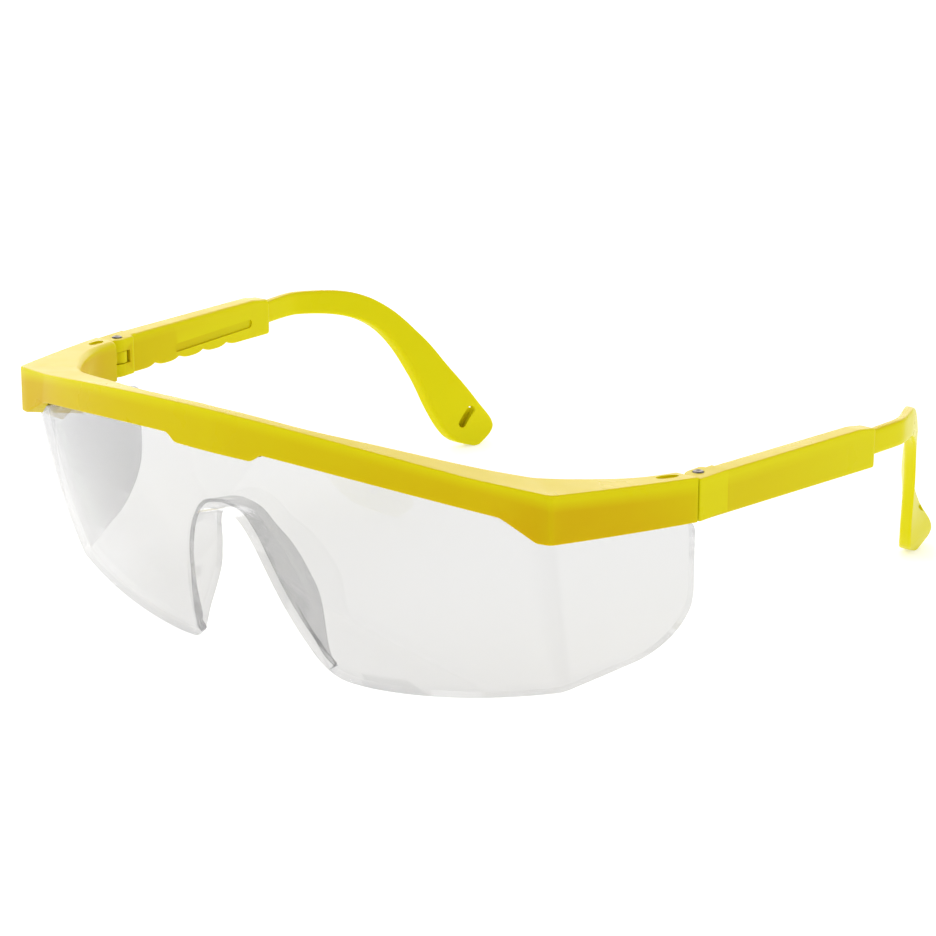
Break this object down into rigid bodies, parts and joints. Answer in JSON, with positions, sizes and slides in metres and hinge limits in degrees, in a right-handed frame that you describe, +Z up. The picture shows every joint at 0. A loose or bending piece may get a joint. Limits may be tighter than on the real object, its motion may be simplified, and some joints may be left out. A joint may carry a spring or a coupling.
{
  "type": "safety glasses",
  "caption": "Wraparound safety glasses: clear lens with side shields and moulded nose flange, yellow brow bar, folding temples with telescoping ear arms.",
  "frame": {"origin": "on the table, under the middle of the whole", "axes": "+Z up, the front faces -Y, +X to the side the wearer's left eye is on"},
  "size_m": [0.1786, 0.1716, 0.0586],
  "materials": {
    "yellow_nylon": "semi-gloss moulded nylon",
    "clear_polycarbonate": "clear polished",
    "dark_steel": "blackened"
  },
  "bodies": {
    "front": {"brow_frame": "yellow_nylon", "lens": "clear_polycarbonate", "hinge_pin_left": "dark_steel", "hinge_pin_right": "dark_steel"},
    "temple_left": {"temple_sleeve_left": "yellow_nylon"},
    "temple_right": {"temple_sleeve_right": "yellow_nylon"},
    "ear_arm_left": {"temple_arm_left": "yellow_nylon"},
    "ear_arm_right": {"temple_arm_right": "yellow_nylon"}
  },
  "joints": [
    {"name": "fold_right", "type": "hinge", "parent": "front", "child": "temple_right", "pos_m": [0.0819, -0.03147, 0.0445], "axis": [0, 0, 1], "range_deg": [0, 85]},
    {"name": "length_right", "type": "slide", "parent": "temple_right", "child": "ear_arm_right", "axis": [0.0743, 0.9972, 0], "range_m": [-0.01, 0]},
    {"name": "fold_left", "type": "hinge", "parent": "front", "child": "temple_left", "pos_m": [-0.0819, -0.03147, 0.0445], "axis": [0, 0, -1], "range_deg": [0, 96]},
    {"name": "length_left", "type": "slide", "parent": "temple_left", "child": "ear_arm_left", "axis": [-0.0743, 0.9972, 0], "range_m": [-0.01, 0]}
  ]
}
